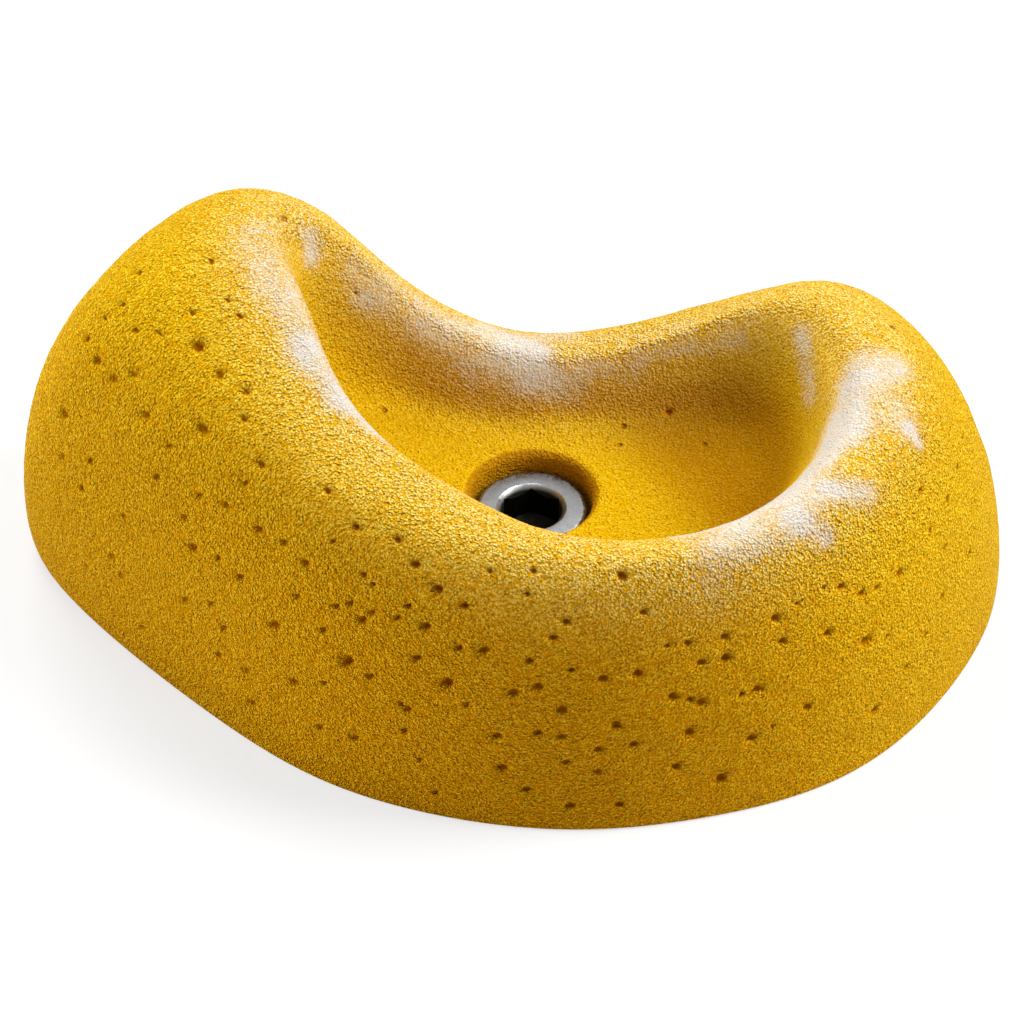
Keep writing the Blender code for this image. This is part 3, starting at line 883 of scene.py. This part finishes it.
# Each pinhole of the material is a round hollow about the point that shows at its pixel.
in_hole = on["pinhole"]
skin_across, skin_below, skin_far = in_photo(skin_points[:recess_start])
for right, down, width in PINHOLES_IN_MATERIAL:
    close = np.hypot(skin_across - right, skin_below - down)
    front = skin_far[close < SPOT_REACH].min()
    shown = np.where(skin_far < front + SPOT_DEPTH, close, np.inf).argmin()
    ends = {0: place, 1: skin_points[shown].tolist()}
    off = node(tree, "ShaderNodeVectorMath", ends, operation="DISTANCE").outputs["Value"]
    radius = pinhole_radius(width)
    hole = ramp(tree, off, radius * DENT_RIM, radius * DENT_MIDDLE)
    in_hole = math_node(tree, "MAXIMUM", in_hole, hole)
    height = math_node(tree, "MULTIPLY_ADD", hole, PINHOLE_HEIGHT, height)

raised = ramp(tree, grain, 0.0, GRAIN_TOP)
# Painted shade and painted light, by the way each point faces
colour = mix_colour(tree, on["painted_light"], RESIN_SHADED, RESIN_PAINTED_LIT)
# The bowl's painted shade, paler where painted light falls
bowl_painted_shade_and_light = mix_colour(tree, on["painted_light"], RESIN_BOWL_PAINTED_SHADE, RESIN_BOWL_PAINTED_LIT)
colour = mix_colour(tree, on["bowl"], colour, bowl_painted_shade_and_light)
# The pale coat that hands leave on the crest, with painted sheen
rubbed_and_sheen = math_node(tree, "MULTIPLY", on["crest_film_and_sheen"], RUBBED_AND_SHEEN_MOST)
colour = mix_colour(tree, rubbed_and_sheen, colour, RESIN_RUBBED_AND_SHEEN)
# Painted shade at the grain's foot and painted highlights on its tops, less in the bowl
tint = mix_colour(tree, raised, GRAIN_FOOT_PAINTED_SHADE, GRAIN_TOP_PAINTED_HIGHLIGHT)
untinted = math_node(tree, "MULTIPLY", on["bowl"], BOWL_TINT_LOSS)
tint = mix_colour(tree, untinted, tint, NO_TINT)
colour = mix_colour(tree, 1.0, colour, tint, "MULTIPLY")
# Painted shade in the small pricks, then in the pinholes by their depth
pricked = math_node(tree, "MULTIPLY", pricks, PRICK_SHADE)
colour = mix_colour(tree, pricked, colour, RESIN_PAINTED_PIT_SHADE)
colour = mix_colour(tree, ramp(tree, in_hole, *PINHOLE_SHADE), colour, RESIN_PAINTED_PIT_SHADE)
powder = math_node(tree, "ADD", on["chalk"], CHALK_THRESHOLD)
powder = math_node(tree, "MULTIPLY_ADD", raised, CHALK_ON_TOPS, powder)
powder = ramp(tree, powder, *CHALK_SHOWS)
powder = math_node(tree, "MULTIPLY", powder, ramp(tree, raised, *CHALK_COVER))
powder = math_node(tree, "MULTIPLY", powder, ramp(tree, in_hole, *CHALK_IN_PINHOLE))
colour = mix_colour(tree, powder, colour, CHALK_WHITE)
fill(tree, shader, {
    "Base Color": colour,
    "Roughness": RESIN_ROUGHNESS,
    "Specular IOR Level": RESIN_SHEEN,
    "Normal": bump(tree, height, GRAIN_HEIGHT),
})

# The ground back is pale and smooth, with long scratches and the air bubbles that were cut
# open. Scales are lumps or cells to the metre.
GROUND_DARK = (0.78, 0.47, 0.02, 1)
GROUND_PALE = (0.90, 0.62, 0.10, 1)
GROUND_ROUGHNESS = 0.7
GROUND_BUMP = 0.05 * MM
SCRATCH_STRETCH = (0.06, 1.0, 1.0)
SCRATCH_SCALE = 2600.0
BUBBLE_SCALE = 330.0
BUBBLE_EDGE = (0.17, 0.12)
BUBBLE_HEIGHT = -3.0

ground, tree, shader = new_material("ground_resin_back")
place = object_place(tree)
mapping = {"Vector": place, "Scale": SCRATCH_STRETCH}
stretched = node(tree, "ShaderNodeMapping", mapping).outputs[0]
scratches = noise(tree, stretched, SCRATCH_SCALE, detail=3.0)
bubble = cells(tree, place, BUBBLE_SCALE).outputs["Distance"]
bubbles = ramp(tree, bubble, *BUBBLE_EDGE)
colour = mix_colour(tree, scratches, GROUND_DARK, GROUND_PALE)
# Painted shade in the cut-open bubbles
colour = mix_colour(tree, bubbles, colour, RESIN_PAINTED_PIT_SHADE)
height = math_node(tree, "MULTIPLY_ADD", bubbles, BUBBLE_HEIGHT, scratches)
bumped = bump(tree, height, GROUND_BUMP)
fill(tree, shader, {"Base Color": colour, "Roughness": GROUND_ROUGHNESS, "Normal": bumped})

resin.data.materials.append(cast)
resin.data.materials.append(ground)
on_back = (ring_of_face >= back_start - 1).astype(np.int32)
resin.data.polygons.foreach_set("material_index", on_back)
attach(resin, "resin")
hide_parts("hold_body")


# Washer
# A plain steel washer, zinc plated, cast into the resin under the bolt's head. Only a thin
# ring of it can be seen, down in the gap round the head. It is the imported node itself.
ZINC_DARK = (0.46, 0.48, 0.50, 1)
ZINC_PALE = (0.66, 0.67, 0.66, 1)
SPANGLE_SCALE = 900.0
DULLING_SCALE = 500.0
ZINC_ROUGHNESS = (0.3, 0.7, 0.32, 0.55)

zinc, tree, shader = new_material("zinc_plated_steel")
place = object_place(tree)
spangle = cells(tree, place, SPANGLE_SCALE).outputs["Color"]
tint = mix_colour(tree, spangle, ZINC_DARK, ZINC_PALE)
dull = ramp(tree, noise(tree, place, DULLING_SCALE, detail=4.0), *ZINC_ROUGHNESS)
fill(tree, shader, {"Base Color": tint, "Metallic": 1.0, "Roughness": dull})
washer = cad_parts["seat_washer"]
washer.data.materials.clear()
washer.data.materials.append(zinc)


# Bolt
# A stainless socket head cap screw, M10: forged head, punched hexagon socket with a turned
# countersink, rolled thread. It passes through the washer and the bore into the wall.
HEAD_SEAT = 14.3 * MM
HEAD_RADIUS = 8 * MM
HEAD_HEIGHT = 10 * MM
HEAD_ROUND = 0.7 * MM
HEAD_FOOT_CHAMFER = 0.4 * MM
SHANK_RADIUS = 5 * MM
SHANK_LENGTH = 40 * MM
SHANK_PLAIN_LENGTH = 8 * MM
TIP_CHAMFER = 1.2 * MM
THREAD_PITCH = 1.5 * MM
THREAD_ROOT = 4.1 * MM
THREAD_CREST = 4.97 * MM
SOCKET_FLAT = 4 * MM
SOCKET_DEPTH = 5 * MM
SOCKET_POINT = 2 * MM
SINK_RADIUS = 5.05 * MM
SINK_SLOPE = 1.1 / 1.05
SINK_EDGE_WIDTH = 0.12 * MM
SINK_EDGE_FALL = 0.05 * MM
HEAD_COLUMNS = 192
SHANK_COLUMNS = 96
TIP_FLAT_SHARE = 0.6
THREAD_ROWS_PER_PITCH = 9
THREAD_ROOT_FLAT = 0.15
THREAD_FLANK = 0.68
THREAD_END = 0.1 * MM
FILLET_WIDTH = 0.2 * MM
FILLET_HEIGHT = 0.4 * MM
HEAD_SIDE_SHARES = (0.3, 0.6)
HEAD_ROUND_STEPS = 6
SINK_STEPS = 5
SOCKET_SHARES = (0.04, 0.2, 0.4, 0.6, 0.8, 1.0)
SOCKET_POINT_SHARES = (0.985, 0.7, 0.4, 0.15)
SCREW_SHARP_ANGLE = math.radians(28)


screw_rings = []


def add_turned(count, radius, height):
    """Add a ring round the axis. Radius and height are one value, or one for each column."""
    angle = np.arange(count) * 2 * math.pi / count
    ring = [np.cos(angle) * radius, np.sin(angle) * radius, np.ones(count) * height]
    screw_rings.append(np.column_stack(ring))


def thread_radius(height, depth):
    """The thread's radius at a height: a right-hand helix with a 60 degree profile.

    Height over pitch, less the turn's share, says where in the profile a column is. The
    profile rises evenly from the root to the crest, and both are a little flat. The depth
    says how much of it is cut, from 0 to 1.
    """
    turn = np.arange(SHANK_COLUMNS) / SHANK_COLUMNS
    phase = (height / THREAD_PITCH - turn) % 1
    from_root = np.abs(phase - 0.5) * 2
    tooth = np.clip((from_root - THREAD_ROOT_FLAT) / THREAD_FLANK, 0, 1)
    return THREAD_CREST - (THREAD_CREST - THREAD_ROOT) * depth * (1 - tooth)


tip = HEAD_SEAT - SHANK_LENGTH
plain_end = HEAD_SEAT - SHANK_PLAIN_LENGTH
head_top = HEAD_SEAT + HEAD_HEIGHT
add_turned(1, 0, tip)
add_turned(SHANK_COLUMNS, TIP_FLAT_SHARE * THREAD_ROOT, tip)
thread_rows = round((plain_end - tip) / THREAD_PITCH * THREAD_ROWS_PER_PITCH)
for step in range(thread_rows + 1):
    level = between(tip, plain_end, step / thread_rows)
    run_out = min(1, (plain_end - level) / THREAD_PITCH)
    chamfer = SHANK_RADIUS - max(0, TIP_CHAMFER - (level - tip))
    radius = np.minimum(thread_radius(level, run_out), chamfer)
    add_turned(SHANK_COLUMNS, radius, level)

# The thread's end, the plain neck, and the small fillet under the head
for radius, level in (
    (THREAD_CREST, plain_end + THREAD_END),
    (SHANK_RADIUS, plain_end + 2 * THREAD_END),
    (SHANK_RADIUS, HEAD_SEAT - FILLET_HEIGHT),
    (SHANK_RADIUS + FILLET_WIDTH / 2, HEAD_SEAT - FILLET_HEIGHT / 4),
    (SHANK_RADIUS + FILLET_WIDTH, HEAD_SEAT),
):
    add_turned(SHANK_COLUMNS, radius, level)

# The head's side with its two edges, then its top
add_turned(HEAD_COLUMNS, HEAD_RADIUS - HEAD_FOOT_CHAMFER, HEAD_SEAT)
add_turned(HEAD_COLUMNS, HEAD_RADIUS, HEAD_SEAT + HEAD_FOOT_CHAMFER)
for share in HEAD_SIDE_SHARES:
    add_turned(HEAD_COLUMNS, HEAD_RADIUS, between(HEAD_SEAT, head_top, share))
for step in range(HEAD_ROUND_STEPS + 1):
    angle = math.pi / 2 * step / HEAD_ROUND_STEPS
    radius = HEAD_RADIUS - HEAD_ROUND * (1 - math.cos(angle))
    add_turned(HEAD_COLUMNS, radius, head_top - HEAD_ROUND * (1 - math.sin(angle)))
add_turned(HEAD_COLUMNS, between(HEAD_RADIUS - HEAD_ROUND, SINK_RADIUS, 0.5), head_top)
add_turned(HEAD_COLUMNS, SINK_RADIUS + SINK_EDGE_WIDTH, head_top)

# The countersink, a cone cut into the hexagon, then the hexagon and its drilled point. The
# hexagon's radius is half its width over a cosine, and two corners lie on the Y axis.
angle = np.arange(HEAD_COLUMNS) * 2 * math.pi / HEAD_COLUMNS
from_flat = (angle + math.pi / 6) % (math.pi / 3) - math.pi / 6
hexagon = SOCKET_FLAT / np.cos(from_flat)
for step in range(SINK_STEPS + 1):
    radius = SINK_RADIUS + (hexagon - SINK_RADIUS) * step / SINK_STEPS
    lip = head_top - SINK_EDGE_FALL - (SINK_RADIUS - radius) * SINK_SLOPE
    add_turned(HEAD_COLUMNS, radius, lip)
socket_floor = head_top - SOCKET_DEPTH
for share in SOCKET_SHARES:
    add_turned(HEAD_COLUMNS, hexagon, between(lip, socket_floor, share))
for share in SOCKET_POINT_SHARES:
    add_turned(HEAD_COLUMNS, SOCKET_FLAT * share, socket_floor - SOCKET_POINT * (1 - share))
add_turned(1, 0, socket_floor - SOCKET_POINT)
screw, _ = piece_from_rings("cap_screw", screw_rings, closed=False)
screw.data.shade_smooth()
screw.data.set_sharp_from_angle(angle=SCREW_SHARP_ANGLE)

# The steel is mottled. Painted shade makes it darker toward the far side, and nearly black
# inside the socket.
# Scales are lumps to the metre.
STEEL_DARK = (0.28, 0.29, 0.295, 1)
STEEL_PALE = (0.46, 0.47, 0.475, 1)
SOCKET_PAINTED_SHADE = (0.007, 0.0065, 0.0045, 1)
NEAR_TO_FAR_SHADE = (-HEAD_RADIUS, HEAD_RADIUS, 1.25, 0.75)
SOCKET_EDGE = (5.02 * MM, 4.8 * MM)
SOCKET_BLACK_BELOW = 0.8 * MM
STEEL_ROUGHNESS = (0.3, 0.7, 0.22, 0.42)
SOCKET_MORE_ROUGH = 0.3
MOTTLE_SCALE = 1500.0
STEEL_DENT_SCALE = 600.0
STEEL_DENT_HEIGHT = 0.6
STEEL_BUMP = 0.04 * MM
STEEL_BUMP_STRENGTH = 0.35

steel, tree, shader = new_material("stainless_cap_screw")
place = object_place(tree)
axes = node(tree, "ShaderNodeSeparateXYZ", {"Vector": place})
x, y, z = (axes.outputs[axis] for axis in "XYZ")
square_sum = math_node(tree, "MULTIPLY_ADD", y, y, math_node(tree, "MULTIPLY", x, x))
off_axis = math_node(tree, "SQRT", square_sum)
below_top = math_node(tree, "SUBTRACT", head_top, z)
sunk = ramp(tree, below_top, 0.0, SOCKET_BLACK_BELOW)
inside = math_node(tree, "MULTIPLY", ramp(tree, off_axis, *SOCKET_EDGE), sunk)
mottle = noise(tree, place, MOTTLE_SCALE, detail=5.0)
dents = noise(tree, place, STEEL_DENT_SCALE, detail=2.0)
tint = mix_colour(tree, mottle, STEEL_DARK, STEEL_PALE)
# Painted shade, darker toward the far side
tint = mix_colour(tree, 1.0, tint, ramp(tree, y, *NEAR_TO_FAR_SHADE), "MULTIPLY")
# Painted shade, nearly black inside the socket
tint = mix_colour(tree, inside, tint, SOCKET_PAINTED_SHADE)
dull = ramp(tree, mottle, *STEEL_ROUGHNESS)
dull = math_node(tree, "MULTIPLY_ADD", inside, SOCKET_MORE_ROUGH, dull)
height = math_node(tree, "MULTIPLY_ADD", dents, STEEL_DENT_HEIGHT, mottle)
bumped = bump(tree, height, STEEL_BUMP, STEEL_BUMP_STRENGTH)
fill(tree, shader, {"Base Color": tint, "Metallic": 1.0, "Roughness": dull, "Normal": bumped})
screw.data.materials.append(steel)
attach(screw, "bolt")
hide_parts("fixing_bolt")


# Studio
# A pale floor stands for the wall panel that the hold is bolted to, with the bolt's shank
# through it. Four softboxes light the hold: high on the right, low on the left, high behind
# it on the left, and a small one overhead. The background is plain white.
FLOOR_SIZE = 6.0
FLOOR_GAP = 0.15 * MM
FLOOR_COLOUR = (0.80, 0.80, 0.79, 1)
FLOOR_ROUGHNESS = 0.9
FLOOR_GLOW = 0.7
WHITE = (1, 1, 1, 1)
AMBIENT = 0.02
# Each softbox: its name, where it stands, its width and height in metres, its power, and
# whether the steel mirrors it
SOFTBOXES = [
    ("right_light", (0.614, 0.0, 0.658), 0.28, 0.55, 10.4, True),
    ("left_light", (-0.869, 0.0, 0.233), 0.28, 0.28, 5.3, True),
    ("back_light", (-0.246, 0.610, 0.614), 0.35, 0.55, 6.9, False),
    ("top_light", (0.0, -0.156, 0.886), 0.28, 0.28, 1.7, True),
]


def seen_directly(tree):
    """1 for rays that show the thing itself, straight or mirrored, and 0 for its light."""
    rays = node(tree, "ShaderNodeLightPath", {}).outputs
    seen = math_node(tree, "MAXIMUM", rays["Is Camera Ray"], rays["Is Glossy Ray"])
    return math_node(tree, "MAXIMUM", seen, rays["Is Transmission Ray"])


floor_mesh = bpy.data.meshes.new("panel")
edge = FLOOR_SIZE / 2
sides = ((-edge, -edge), (edge, -edge), (edge, edge), (-edge, edge))
floor_mesh.from_pydata([(*side, -FLOOR_GAP) for side in sides], [], [(0, 1, 2, 3)])
panel = new_object("panel", floor_mesh)
pale, tree, shader = new_material("pale_panel")
fill(tree, shader, {"Base Color": FLOOR_COLOUR, "Roughness": FLOOR_ROUGHNESS})
glow = math_node(tree, "MULTIPLY", seen_directly(tree), FLOOR_GLOW)
white = node(tree, "ShaderNodeEmission", {"Color": WHITE, "Strength": 1.0}).outputs[0]
lit = node(tree, "ShaderNodeMixShader", {0: glow, 1: shader.outputs[0], 2: white}).outputs[0]
fill(tree, tree.nodes["Material Output"], {"Surface": lit})
panel.data.materials.append(pale)

# A softbox faces the hold: it is tilted from straight down, then turned about the vertical.
for name, (x, y, z), width, height, power, mirrored in SOFTBOXES:
    lamp = bpy.data.lights.new(name, "AREA")
    lamp.shape = "RECTANGLE"
    lamp.size = width
    lamp.size_y = height
    lamp.energy = power
    light = new_object(name, lamp)
    light.location = (x, y, z)
    tilt, turn = math.atan2(math.hypot(x, y), z), math.atan2(y, x) + math.pi / 2
    light.rotation_euler = (tilt, 0, turn)
    light.visible_glossy = mirrored

world = bpy.data.worlds.new("studio")
world.use_nodes = True
bpy.context.scene.world = world
tree = world.node_tree
dim = tree.nodes["Background"]
fill(tree, dim, {"Color": WHITE, "Strength": AMBIENT})
bright = node(tree, "ShaderNodeBackground", {"Color": WHITE, "Strength": 1.0}).outputs[0]
parts = {0: seen_directly(tree), 1: dim.outputs[0], 2: bright}
both = node(tree, "ShaderNodeMixShader", parts).outputs[0]
fill(tree, tree.nodes["World Output"], {"Surface": both})
bpy.context.scene.view_settings.view_transform = "Standard"
